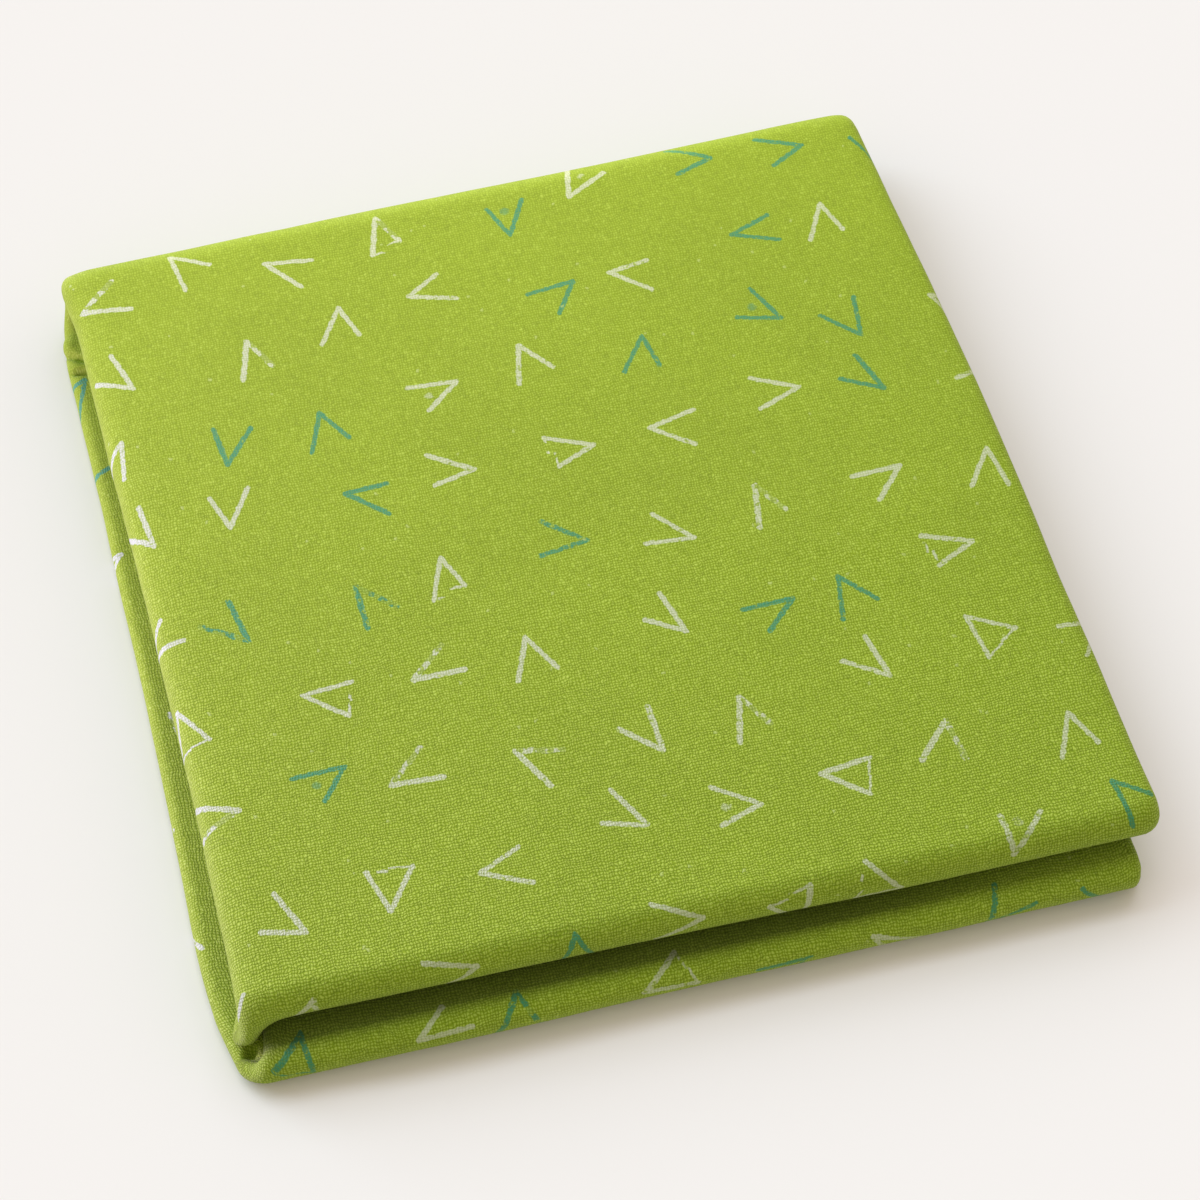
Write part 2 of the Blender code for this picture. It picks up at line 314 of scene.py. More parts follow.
def stripPoint(stretch, along, x):
    if stretch == "lowerFront":
        return frontFoldPoint(stretch, "bottom", "lowerReturn", along, x)
    if stretch == "upperFront":
        return frontFoldPoint(stretch, "upperReturn", "top", along, x)
    if stretch == "spine":
        return spinePoint(along, x)
    fold = "lowerFront" if stretch in ("bottom", "lowerReturn") else "upperFront"
    frontY = foldReach(fold, x) + cloth["stripThickness"] / 2.0 + endRadius
    spineY = foldReach("spine", x) - cloth["stripThickness"] / 2.0 - cloth["spineCorner"]
    freeY = foldReach("spine", x) - cloth["stripThickness"] - cloth["freeEndGap"]
    startY, endY, heading = {
        "lowerReturn": (freeY, frontY, math.pi),
        "bottom": (frontY, spineY, 0.0),
        "top": (spineY, frontY, math.pi),
        "upperReturn": (frontY, freeY, 0.0),
    }[stretch]
    return mix(startY, endY, along), level[stretch], heading


def noseHang(stretch, along, y, x):
    # How much of the nose's hang this point takes.
    under = ease(2.0 * along - 1.0) if stretch == "upperFront" else 1.0
    fullX = mix(*nose["fullX"], under)
    across = min(max((nose["startX"] - x) / (nose["startX"] - fullX), 0.0), 1.0) ** 3
    if stretch == "upperFront":
        return across * ease(along)
    if stretch == "upperReturn":
        foot = foldReach("upperFront", x) + cloth["stripThickness"] / 2.0 + endRadius
        return across * (1.0 - ease((y - foot) / nose["length"]))
    return 0.0


def rollDrop(stretch, along, x, edges):
    # The roll runs on round the upper front fold, to match the stretches at both its ends.
    if stretch == "upperFront":
        top = rollDrop("top", 1.0, x, edges)
        return mix(top, rollDrop("upperReturn", 0.0, x, edges), along)
    if stretch == "spine":
        return rollDrop("top", 0.0, x, edges) * ease((along - 0.5) / 0.5)
    if stretch not in rolls:
        return 0.0
    total = 0.0
    for away, (drop, width) in zip((x - edges[0], edges[1] - x), rolls[stretch]):
        lean = min(max(1.0 - away / width, 0.0), 1.0)
        total += drop * (1.0 - math.sqrt(1.0 - lean * lean))
    return total


def waviness(x, y, z):
    # Outward movement of the faces and side folds. The flaps inside the strip stay as they are.
    step, shiftY, shiftZ = waveStep
    total = 0.0
    for number, (length, rise) in enumerate(waves):
        shift = Vector((step * number, shiftY, shiftZ))
        total += rise * noise.noise(Vector((x, y, waveUpright * z)) / length + shift)
    return total


def shoulder(stretch, along, x):
    # The lower front fold swells under the upper one, but not beside the nose.
    if stretch != "lowerFront":
        return 0.0
    swell = math.sin(math.pi * min(along / cloth["shoulderRun"], 1.0)) ** 2
    start, width = nose["clearX"]
    return cloth["shoulder"] * swell * ease((x - start) / width)


def creased(stretch, point):
    # Moves a point by the creases near it.
    moved = point.copy()
    for names, start, end, width, depth, way in creases:
        if stretch not in names:
            continue
        start, end = Vector(start), Vector(end)
        way = Vector(way).normalized()
        run = end - start
        part = min(max((point - start).dot(run) / run.length_squared, 0.0), 1.0)
        off = point - start - part * run
        if off.length > creaseFade["near"] * width:
            continue
        aside = (off - off.dot(way) * way).length
        inside = ease(creaseFade["steepness"] * min(part, 1.0 - part))
        fade = creaseFade["ends"] + (1.0 - creaseFade["ends"]) * inside
        moved += depth * fade * ease(1.0 - aside / width) * way
    return moved


def section(edges):
    # Across the strip: x, height over the strip's middle, heading, and how much the cloth may wave.
    left, right = edges
    reach = sideRadius + cloth["thickness"] / 2.0
    rightCenter, leftCenter = right - reach, left + reach
    middle = (left + right) / 2.0
    flap = columns["flapInsets"]
    points = [(middle + cloth["slit"] / 2.0, sideRadius, 0.0, 0.0)]
    points += [(rightCenter - inset, sideRadius, 0.0, 0.0) for inset in reversed(flap)]
    points += sideFold(rightCenter, 0.0)
    for number in range(1, columns["face"]):
        part = number / columns["face"]
        part -= columns["crowding"] * math.sin(2.0 * math.pi * part) / (2.0 * math.pi)
        points.append((mix(rightCenter, leftCenter, part), -sideRadius, -math.pi, 1.0))
    points += sideFold(leftCenter, -math.pi)
    points += [(leftCenter + inset, sideRadius, 0.0, 0.0) for inset in flap]
    points.append((middle - cloth["slit"] / 2.0, sideRadius, 0.0, 0.0))
    return points


def sideFold(centerX, firstHeading):
    points = []
    for step in range(columns["fold"] + 1):
        heading = firstHeading - math.pi * step / columns["fold"]
        x = centerX - sideRadius * math.sin(heading)
        waving = ease(0.5 - 0.5 * math.cos(heading))
        points.append((x, sideRadius * math.cos(heading), heading, waving))
    return points


def rowPlaces():
    places = []
    for name, length, rows, quarter, threeQuarters in stretches:
        spacing = ((0.0, 0.0), (0.25, quarter), (0.75, threeQuarters), (1.0, 1.0))
        first = 0 if not places else 1
        places += [(name, curveThrough(spacing, step / rows)) for step in range(first, rows + 1)]
    return places


def sheetPoint(stretch, along, edges, point, side):
    x, rise, heading, waving = point
    y, z, direction = stripPoint(stretch, along, x)
    out = side * cloth["thickness"] / 2.0
    if waving:
        out += waving * (waviness(x, y, z) + shoulder(stretch, along, x))
    x -= out * math.sin(heading)
    rise += out * math.cos(heading)
    y, z, direction = stripPoint(stretch, along, x)  # again, since x has moved
    y -= rise * math.sin(direction)
    z += rise * math.cos(direction)
    hang = noseHang(stretch, along, y, x)
    z -= nose["drop"] * hang + rollDrop(stretch, along, x, edges)
    point = creased(stretch, Vector((x, y - nose["push"] * hang, z)))
    point.z = max(point.z, 0.0)
    return point


leftMost = min(row[2] for row in edgeRows)
spineMost = max(folds["spine"]["reach"])
packetShift = Vector((packetLow.x - leftMost, packetHigh.y - spineMost, packetLow.z))


def sheetGrid(side):
    # Points of the printed side (side 1) or of the wrong side (side -1).
    grid = []
    for stretch, along in rowPlaces():
        edges = edgesAt(stretch, along)
        grid.append([
            packetShift + sheetPoint(stretch, along, edges, point, side)
            for point in section(edges)
        ])
    return grid


def flatPlaces(grid):
    # Where each point of the printed side lies on the flat cloth, in metres. The grain is straight on
    # the top, and runs on round the folds.
    columnCount = len(grid[0])
    firstFace = len(columns["flapInsets"]) + 1 + columns["fold"]
    lastFace = columnCount - 1 - firstFace
    topRows = stretches[stretchNames.index("top")][2]
    start = [name for name, along in rowPlaces()].index("top") + topRows // 2
    alongs = [[0.0] * columnCount for row in grid]
    for column in range(firstFace, lastFace + 1):
        alongs[start][column] = grid[start][column].y
        for row in range(start + 1, len(grid)):
            run = (grid[row][column] - grid[row - 1][column]).length
            alongs[row][column] = alongs[row - 1][column] - run
        for row in range(start - 1, -1, -1):
            run = (grid[row][column] - grid[row + 1][column]).length
            alongs[row][column] = alongs[row + 1][column] + run
    places = []
    middle = columnCount // 2
    for row, points in enumerate(grid):
        across = [0.0] * columnCount
        across[middle] = points[middle].x
        for column in range(middle + 1, columnCount):
            across[column] = across[column - 1] - (points[column] - points[column - 1]).length
        for column in range(middle - 1, -1, -1):
            across[column] = across[column + 1] + (points[column] - points[column + 1]).length
        nearest = [min(max(column, firstFace), lastFace) for column in range(columnCount)]
        places.append([(across[column], alongs[row][nearest[column]]) for column in range(columnCount)])
    return places


# Where each stretch lies on the square that a finished texture fills: left, low, width, height. The
# top has most of it.
bakeAreas = {
    "top": (0.005, 0.265, 0.735, 0.730),
    "bottom": (0.750, 0.265, 0.245, 0.730),
    "spine": (0.005, 0.175, 0.735, 0.080),
    "upperFront": (0.005, 0.105, 0.735, 0.060),
    "lowerFront": (0.005, 0.035, 0.735, 0.060),
    "upperReturn": (0.750, 0.185, 0.245, 0.070),
    "lowerReturn": (0.750, 0.105, 0.245, 0.070),
    "wrongSide": (0.750, 0.035, 0.245, 0.060),
    "rawEdge": (0.005, 0.005, 0.990, 0.020),
}


def bakePlace(area, across, along):
    left, low, width, rise = bakeAreas[area]
    return left + width * across, low + rise * along


def columnShare(columnCount):
    # How the texture's width is shared: little for the flaps, most for the face.
    flapEnd = len(columns["flapInsets"]) + 1
    foldEnd = flapEnd + columns["fold"]
    flap, fold = columns["flapTexture"], columns["foldTexture"]
    shares = []
    for column in range(columnCount):
        fromEnd = min(column, columnCount - 1 - column)
        if fromEnd > foldEnd:
            part = (column - foldEnd) / (columnCount - 1 - 2 * foldEnd)
            shares.append(mix(flap + fold, 1.0 - flap - fold, part))
            continue
        if fromEnd > flapEnd:
            share = flap + fold * (fromEnd - flapEnd) / columns["fold"]
        else:
            share = flap * fromEnd / flapEnd
        shares.append(share if fromEnd == column else 1.0 - share)
    return shares


def paintedShadeAt(stretch, along, x):
    # How much painted shade the colour takes where the lower front fold runs in under the upper one,
    # standing
    #  in for the shadow in that gap. The gap is a little more open to the right, so the painted shade is
    #  lighter there.
    if stretch not in ("lowerReturn", "lowerFront"):
        return 0.0
    inward = 1.0 if stretch == "lowerReturn" else max(1.0 - along / cloth["paintedShade"], 0.0) ** 2
    start, width, share = cloth["paintedShadeRight"]
    return inward * mix(1.0, share, ease((x - start) / width))


def buildSheet():
    rightSide, wrongSide = 0, 1  # the material slots
    printed = sheetGrid(1)
    plain = sheetGrid(-1)
    flat = flatPlaces(printed)
    places = rowPlaces()
    shares = columnShare(len(printed[0]))
    work = bmesh.new()
    clothMap = work.loops.layers.uv.new("cloth")
    bakeMap = work.loops.layers.uv.new("OFBake")
    paintedShade = work.verts.layers.float.new("paintedShade")
    outer = [[work.verts.new(point) for point in row] for row in printed]
    inner = [[work.verts.new(point) for point in row] for row in plain]

    # Each printed vertex holds how much painted shade it takes under the upper front fold.
    for (stretch, along), row in zip(places, outer):
        for vertex in row:
            vertex[paintedShade] = paintedShadeAt(stretch, along, vertex.co.x)

    def addFace(corners, material):
        # A corner is its vertex, its place on the flat cloth and its place on the texture.
        face = work.faces.new([corner[0] for corner in corners])
        face.material_index = material
        face.smooth = True
        for loop, corner in zip(face.loops, corners):
            loop[clothMap].uv = corner[1]
            loop[bakeMap].uv = corner[2]

    rowCount, columnCount = len(outer), len(outer[0])
    for row in range(rowCount - 1):
        area = places[row + 1][0]
        alongs = (places[row][1] if places[row][0] == area else 0.0, places[row + 1][1])
        for column in range(columnCount - 1):
            corners = []
            for down, over in ((0, 0), (0, 1), (1, 1), (1, 0)):
                corners.append((
                    outer[row + down][column + over],
                    flat[row + down][column + over],
                    bakePlace(area, shares[column + over], alongs[down]),
                ))
            addFace(corners, rightSide)
    for row in range(rowCount - 1):
        for column in range(columnCount - 1):
            corners = []
            for down, over in ((0, 0), (1, 0), (1, 1), (0, 1)):
                part = ((column + over) / (columnCount - 1), (row + down) / (rowCount - 1))
                corners.append((
                    inner[row + down][column + over],
                    flat[row + down][column + over],
                    bakePlace("wrongSide", *part),
                ))
            addFace(corners, wrongSide)

    # The raw edge all round.
    outerRim, innerRim, flatRim = rim(outer), rim(inner), rim(flat)
    count = len(outerRim)
    for number in range(count):
        following = (number + 1) % count
        parts = (number / count, (number + 1) / count)
        addFace((
            (outerRim[following], flatRim[following], bakePlace("rawEdge", parts[1], 1.0)),
            (outerRim[number], flatRim[number], bakePlace("rawEdge", parts[0], 1.0)),
            (innerRim[number], flatRim[number], bakePlace("rawEdge", parts[0], 0.0)),
            (innerRim[following], flatRim[following], bakePlace("rawEdge", parts[1], 0.0)),
        ), wrongSide)
    data = bpy.data.meshes.new("folded_cotton")
    work.to_mesh(data)
    work.free()
    return data


def rim(grid):
    around = list(grid[0][:-1])
    around += [row[-1] for row in grid[:-1]]
    around += list(grid[-1][:0:-1])
    around += [row[0] for row in grid[:0:-1]]
    return around


def linked(name, data):
    made = bpy.data.objects.new(name, data)
    bpy.context.scene.collection.objects.link(made)
    return made


sheetData = buildSheet()
sheet = linked("folded_cotton", sheetData)
print("cloth built,", sum(len(face.vertices) - 2 for face in sheetData.polygons), "triangles")


# Small helpers for node trees.
def plug(tree, socket, value):
    if isinstance(value, bpy.types.NodeSocket):
        tree.links.new(value, socket)
    elif value is not None:
        socket.default_value = value


def calc(tree, operation, first, second=None, third=None):
    node = tree.nodes.new("ShaderNodeMath")
    node.operation = operation
    for socket, value in zip(node.inputs, (first, second, third)):
        plug(tree, socket, value)
    return node.outputs[0]


def vectorCalc(tree, operation, first, second=None):
    node = tree.nodes.new("ShaderNodeVectorMath")
    node.operation = operation
    plug(tree, node.inputs[0], first)
    plug(tree, node.inputs[1], second)
    return node.outputs["Vector"]


def scaled(tree, vector, amount):
    node = tree.nodes.new("ShaderNodeVectorMath")
    node.operation = "SCALE"
    plug(tree, node.inputs[0], vector)
    plug(tree, node.inputs["Scale"], amount)
    return node.outputs["Vector"]


def split(tree, vector):
    node = tree.nodes.new("ShaderNodeSeparateXYZ")
    plug(tree, node.inputs[0], vector)
    return node.outputs[0], node.outputs[1], node.outputs[2]


def join(tree, x, y, z=0.0):
    node = tree.nodes.new("ShaderNodeCombineXYZ")
    for socket, value in zip(node.inputs, (x, y, z)):
        plug(tree, socket, value)
    return node.outputs[0]


def ramp(tree, value, stops, smooth=False):
    # The stops are from, to, and the values there.
    node = tree.nodes.new("ShaderNodeMapRange")
    node.interpolation_type = "SMOOTHSTEP" if smooth else "LINEAR"
    for socket, given in zip(node.inputs, (value, *stops)):
        plug(tree, socket, given)
    return node.outputs[0]


def blendColors(tree, amount, first, second, way="MIX"):
    node = tree.nodes.new("ShaderNodeMix")
    node.data_type = "RGBA"
    node.blend_type = way
    plug(tree, node.inputs["Factor"], amount)
    plug(tree, node.inputs["A"], first)
    plug(tree, node.inputs["B"], second)
    return node.outputs["Result"]


def dimmed(tree, color, amount):
    # The colour with all its three parts times the amount.
    return blendColors(tree, 1.0, color, join(tree, amount, amount, amount), "MULTIPLY")


def grainNoise(tree, vector, scale, detail=2.0, color=False):
    node = tree.nodes.new("ShaderNodeTexNoise")
    plug(tree, node.inputs["Vector"], vector)
    node.inputs["Scale"].default_value = scale
    node.inputs["Detail"].default_value = detail
    return node.outputs["Color" if color else "Fac"]


def chance(tree, x, y, draw, output="Value"):
    # A steady random number, or three in a colour, for each whole-number place. Each draw has its own
    # number, so that no two follow each other.
    node = tree.nodes.new("ShaderNodeTexWhiteNoise")
    node.noise_dimensions = "3D"
    plug(tree, node.inputs["Vector"], join(tree, x, y, draw))
    return node.outputs[output]


def newGroup(name, inputs, outputs):
    tree = bpy.data.node_groups.new(name, "ShaderNodeTree")
    for label, kind, value in inputs:
        socket = tree.interface.new_socket(name=label, in_out="INPUT", socket_type=kind)
        if value is not None:
            socket.default_value = value
    for label in outputs:
        tree.interface.new_socket(name=label, in_out="OUTPUT", socket_type="NodeSocketFloat")
    return tree, tree.nodes.new("NodeGroupInput").outputs, tree.nodes.new("NodeGroupOutput").inputs


def place(tree, group, values):
    node = tree.nodes.new("ShaderNodeGroup")
    node.node_tree = group
    for label, value in values.items():
        plug(tree, node.inputs[label], value)
    return node.outputs


# How the threads vary.
thread = {
    "strays": ((38.0, 2.2), (130.0, 1.20), (400.0, 1.00), (900.0, 0.80)),  # waves per metre, share
    "strayDetail": 1.5,
    "roundness": 0.62,              # a thread's height over its sides, as a share of the whole
    "crossing": 0.38,               # and its rise and fall over the crossings
    "softness": 0.15,               # of the step from one thread to the one over it
    "slubWave": 0.8,                # waves per thread across a slub
    "slubStretch": 0.06,            # and along it, as a share of that
    "fuzzWaves": 900.0,             # per metre
    "fuzzShift": (0.23, 0.41, 0.0),
    "toneInHeight": 0.10,
    "nepFrom": 0.9990,              # a nep sits where the draw is over this
}
toneShares = {"crossing": 4.5, "fuzz": 0.5, "thread": 0.10, "slub": 0.16}
threadDraws = {"crossing": 3.0, "slubWarp": 5.0, "slubWeft": 9.0, "warp": 11.0, "weft": 17.0, "nep": 23.0}


def plainWeave():
    # Warp runs along the cloth and weft across it, each passing over and under in turn.
    number = "NodeSocketFloat"
    tree, given, result = newGroup(
        "plain weave",
        (
            ("Coordinate", "NodeSocketVector", None),
            ("Warp Pitch", number, 0.00080),
            ("Weft Pitch", number, 0.00088),
            ("Wander", number, 0.0012),
            ("Unevenness", number, 1.0),
            ("Roundness", number, 0.6),
        ),
        ("Height", "Tone", "Nep"),
    )
    moved = given["Coordinate"]
    for scale, share in thread["strays"]:
        drift = grainNoise(tree, given["Coordinate"], scale, thread["strayDetail"], True)
        drift = vectorCalc(tree, "SUBTRACT", drift, (0.5, 0.5, 0.5))
        drift = scaled(tree, drift, calc(tree, "MULTIPLY", given["Wander"], share))
        moved = vectorCalc(tree, "ADD", moved, drift)
    across, along, ignored = split(tree, moved)
    warp = calc(tree, "DIVIDE", across, given["Warp Pitch"])
    weft = calc(tree, "DIVIDE", along, given["Weft Pitch"])
    warpNumber = calc(tree, "FLOOR", warp)
    weftNumber = calc(tree, "FLOOR", weft)
    inWarp = calc(tree, "SUBTRACT", calc(tree, "FRACT", warp), 0.5)
    inWeft = calc(tree, "SUBTRACT", calc(tree, "FRACT", weft), 0.5)
    roundWarp = calc(tree, "COSINE", calc(tree, "MULTIPLY", inWarp, math.pi))
    roundWeft = calc(tree, "COSINE", calc(tree, "MULTIPLY", inWeft, math.pi))
    overWarp = calc(tree, "ADD", calc(tree, "SUBTRACT", weft, 0.5), warpNumber)
    overWarp = calc(tree, "COSINE", calc(tree, "MULTIPLY", overWarp, math.pi))
    overWeft = calc(tree, "ADD", calc(tree, "SUBTRACT", warp, 0.5), weftNumber)
    overWeft = calc(tree, "COSINE", calc(tree, "MULTIPLY", overWeft, math.pi))
    warpRise = calc(tree, "MULTIPLY", overWarp, thread["crossing"])
    weftRise = calc(tree, "MULTIPLY", overWeft, -thread["crossing"])
    warpHeight = calc(tree, "MULTIPLY_ADD", roundWarp, thread["roundness"], warpRise)
    weftHeight = calc(tree, "MULTIPLY_ADD", roundWeft, thread["roundness"], weftRise)
    top = calc(tree, "SMOOTH_MAX", warpHeight, weftHeight, thread["softness"])
    # The rounder it is, the more each crossing stands up as a dot of its own.
    dot = calc(tree, "MULTIPLY", roundWarp, roundWeft)
    rounder = calc(tree, "MULTIPLY", calc(tree, "SUBTRACT", dot, top), given["Roundness"])
    top = calc(tree, "ADD", top, rounder)

    # The tone is the sum of what varies: each crossing, the fibres, each thread and its slubs.
    perCrossing = chance(tree, warpNumber, weftNumber, threadDraws["crossing"])
    perWarp = chance(tree, warpNumber, 0.0, threadDraws["warp"])
    perWeft = chance(tree, 0.0, weftNumber, threadDraws["weft"])
    slowWeft = calc(tree, "MULTIPLY", weft, thread["slubStretch"])
    slowWarp = calc(tree, "MULTIPLY", warp, thread["slubStretch"])
    slubWarp = join(tree, warp, slowWeft, threadDraws["slubWarp"])
    slubWarp = grainNoise(tree, slubWarp, thread["slubWave"], 1.0)
    slubWeft = join(tree, slowWarp, weft, threadDraws["slubWeft"])
    slubWeft = grainNoise(tree, slubWeft, thread["slubWave"], 1.0)
    fuzzPlace = vectorCalc(tree, "ADD", given["Coordinate"], thread["fuzzShift"])
    fuzz = grainNoise(tree, fuzzPlace, thread["fuzzWaves"], 2.0)
    centred = calc(tree, "SUBTRACT", perCrossing, 0.5)
    cubed = calc(tree, "MULTIPLY", centred, calc(tree, "MULTIPLY", centred, centred))
    tone = calc(tree, "MULTIPLY", cubed, toneShares["crossing"])
    for varied, share in (
        (fuzz, toneShares["fuzz"]),
        (perWarp, toneShares["thread"]),
        (perWeft, toneShares["thread"]),
        (slubWarp, toneShares["slub"]),
        (slubWeft, toneShares["slub"]),
    ):
        tone = calc(tree, "MULTIPLY_ADD", calc(tree, "SUBTRACT", varied, 0.5), share, tone)
    tone = calc(tree, "MULTIPLY", tone, given["Unevenness"])
    nep = chance(tree, warpNumber, weftNumber, threadDraws["nep"])
    plug(tree, result["Height"], calc(tree, "MULTIPLY_ADD", tone, thread["toneInHeight"], top))
    plug(tree, result["Tone"], tone)
    plug(tree, result["Nep"], calc(tree, "GREATER_THAN", nep, thread["nepFrom"]))
    return tree


# How the marks vary. Lengths are in metres, noises in waves per metre, and ranges are from, to, and the
# values there.
mark = {
    "jitter": 0.40,                            # share of the spacing that a middle may lie in
    "wobble": (700.0, 0.0009),
    "pointBack": 0.48,                         # from the mark's middle back to its point, in arms
    "halfAngle": (0.0, 1.0, 0.36, 0.46),       # between the strokes, in radians
    "shorter": 0.22,                           # how much shorter the upper stroke may be
    "halfStroke": (0.0, 1.0, 0.42, 0.54),      # of the stroke's width
    "edge": (-0.00018, 0.00022, 1.0, 0.0),
    "gapWaves": 420.0,
    "gaps": (0.46, 0.50, 1.0, 0.15),
    "gappyFrom": 0.80,                         # the draw over which the upper stroke has gaps
    "closing": (0.00022, 0.00050, 1.0, 0.0),   # the thin stroke's half width
    "closedShare": 0.13,
    "breakWaves": 300.0,
    "breaks": (0.42, 0.50, 0.0, 1.0),
    "dabPlace": 0.66,                          # from the point, in arms
    "dabRoughness": 0.0006,
    "dab": (0.0002, 0.0012, 0.6, 0.0),
    "dabFrom": 0.92,                           # the draw over which a mark holds a dab
    "dryWaves": 620.0,
    "dryShift": (0.31, 0.17, 0.0),
    "dryness": (0.0, 1.0, 0.30, 0.44),
    "dryEdge": (-0.05, 0.05, 0.20, 1.0),
}
markDraws = {"line": 31.0, "first": 41.0, "second": 43.0, "third": 47.0}


def tossedMarks():
    # Two-stroke marks, one to a cell, turned every way, in two inks.
    number = "NodeSocketFloat"
    tree, given, result = newGroup(
        "tossed marks",
        (
            ("Coordinate", "NodeSocketVector", None),
            ("Spacing", number, 0.0305),
            ("Arm", number, 0.0141),
            ("Stroke", number, 0.00150),
            ("Second Ink", number, 0.27),
        ),
        ("Ink", "Second"),
    )
    across, along, ignored = split(tree, given["Coordinate"])
    line = calc(tree, "DIVIDE", along, given["Spacing"])
    lineNumber = calc(tree, "FLOOR", line)
    lineShift = chance(tree, 0.0, lineNumber, markDraws["line"])
    step = calc(tree, "ADD", calc(tree, "DIVIDE", across, given["Spacing"]), lineShift)
    stepNumber = calc(tree, "FLOOR", step)
    inLine = calc(tree, "SUBTRACT", calc(tree, "SUBTRACT", line, lineNumber), 0.5)
    inStep = calc(tree, "SUBTRACT", calc(tree, "SUBTRACT", step, stepNumber), 0.5)
    first, second, third = (
        split(tree, chance(tree, stepNumber, lineNumber, markDraws[name], "Color"))
        for name in ("first", "second", "third")
    )
    jitterX, jitterY, turn = first
    inkDraw, opening, armDraw = second
    closing, worn, lean = third

    # The place in the mark's own frame, with its point at the origin and its arms either side of x.
    x = calc(tree, "MULTIPLY_ADD", calc(tree, "SUBTRACT", jitterX, 0.5), -mark["jitter"], inStep)
    y = calc(tree, "MULTIPLY_ADD", calc(tree, "SUBTRACT", jitterY, 0.5), -mark["jitter"], inLine)
    rotate = tree.nodes.new("ShaderNodeVectorRotate")
    rotate.rotation_type = "Z_AXIS"
    plug(tree, rotate.inputs["Vector"], scaled(tree, join(tree, x, y), given["Spacing"]))
    plug(tree, rotate.inputs["Angle"], calc(tree, "MULTIPLY", turn, 2.0 * math.pi))
    wobbleWaves, wobbleSize = mark["wobble"]
    wobble = grainNoise(tree, given["Coordinate"], wobbleWaves, 1.0, True)
    wobble = vectorCalc(tree, "SUBTRACT", wobble, (0.5, 0.5, 0.5))
    local = vectorCalc(tree, "ADD", rotate.outputs[0], scaled(tree, wobble, wobbleSize))
    x, y, ignored = split(tree, local)
    x = calc(tree, "MULTIPLY_ADD", given["Arm"], mark["pointBack"], x)
    upper = calc(tree, "GREATER_THAN", y, 0.0)
    y = calc(tree, "ABSOLUTE", y)

    # The two strokes.
    half = ramp(tree, opening, mark["halfAngle"])
    cosine = calc(tree, "COSINE", half)
    sine = calc(tree, "SINE", half)
    shorter = calc(tree, "MULTIPLY_ADD", calc(tree, "MULTIPLY", upper, armDraw), -mark["shorter"], 1.0)
    arm = calc(tree, "MULTIPLY", given["Arm"], shorter)
    reach = calc(tree, "MULTIPLY_ADD", x, cosine, calc(tree, "MULTIPLY", y, sine))
    reach = calc(tree, "MINIMUM", calc(tree, "MAXIMUM", reach, 0.0), arm)
    offX = calc(tree, "SUBTRACT", x, calc(tree, "MULTIPLY", reach, cosine))
    offY = calc(tree, "SUBTRACT", y, calc(tree, "MULTIPLY", reach, sine))
    off = calc(tree, "SQRT", calc(tree, "MULTIPLY_ADD", offX, offX, calc(tree, "MULTIPLY", offY, offY)))
    halfStroke = calc(tree, "MULTIPLY", given["Stroke"], ramp(tree, lean, mark["halfStroke"]))
    strokes = ramp(tree, calc(tree, "SUBTRACT", off, halfStroke), mark["edge"], True)
    gaps = ramp(tree, grainNoise(tree, given["Coordinate"], mark["gapWaves"], 1.0), mark["gaps"], True)
    gappy = calc(tree, "MULTIPLY", upper, calc(tree, "GREATER_THAN", lean, mark["gappyFrom"]))
    gaps = calc(tree, "MAXIMUM", gaps, calc(tree, "SUBTRACT", 1.0, gappy))
    strokes = calc(tree, "MULTIPLY", strokes, gaps)

    # A few marks are closed by a thin broken stroke across their ends, and a few hold a small dab.
    endX = calc(tree, "MULTIPLY", arm, cosine)
    endY = calc(tree, "MULTIPLY", arm, sine)
    thin = ramp(tree, calc(tree, "ABSOLUTE", calc(tree, "SUBTRACT", x, endX)), mark["closing"], True)
    thin = calc(tree, "MULTIPLY", thin, calc(tree, "LESS_THAN", y, endY))
    broken = grainNoise(tree, given["Coordinate"], mark["breakWaves"], 1.0)
    broken = ramp(tree, broken, mark["breaks"], True)
    closed = calc(tree, "LESS_THAN", closing, mark["closedShare"])
    thin = calc(tree, "MULTIPLY", calc(tree, "MULTIPLY", thin, broken), closed)
    dabX = calc(tree, "SUBTRACT", x, calc(tree, "MULTIPLY", given["Arm"], mark["dabPlace"]))
    dab = calc(tree, "SQRT", calc(tree, "MULTIPLY_ADD", dabX, dabX, calc(tree, "MULTIPLY", y, y)))
    dab = ramp(tree, calc(tree, "MULTIPLY_ADD", broken, -mark["dabRoughness"], dab), mark["dab"], True)
    dab = calc(tree, "MULTIPLY", dab, calc(tree, "GREATER_THAN", closing, mark["dabFrom"]))
    ink = calc(tree, "MAXIMUM", calc(tree, "MAXIMUM", strokes, thin), dab)

    # Some marks are printed drier than others.
    dryPlace = vectorCalc(tree, "ADD", given["Coordinate"], mark["dryShift"])
    dry = grainNoise(tree, dryPlace, mark["dryWaves"], 2.0)
    dryness = ramp(tree, calc(tree, "POWER", worn, 2.0), mark["dryness"])
    dryMask = ramp(tree, calc(tree, "SUBTRACT", dry, dryness), mark["dryEdge"], True)
    plug(tree, result["Ink"], calc(tree, "MULTIPLY", ink, dryMask))
    plug(tree, result["Second"], calc(tree, "LESS_THAN", inkDraw, given["Second Ink"]))
    return tree


weave = plainWeave()
marks = tossedMarks()

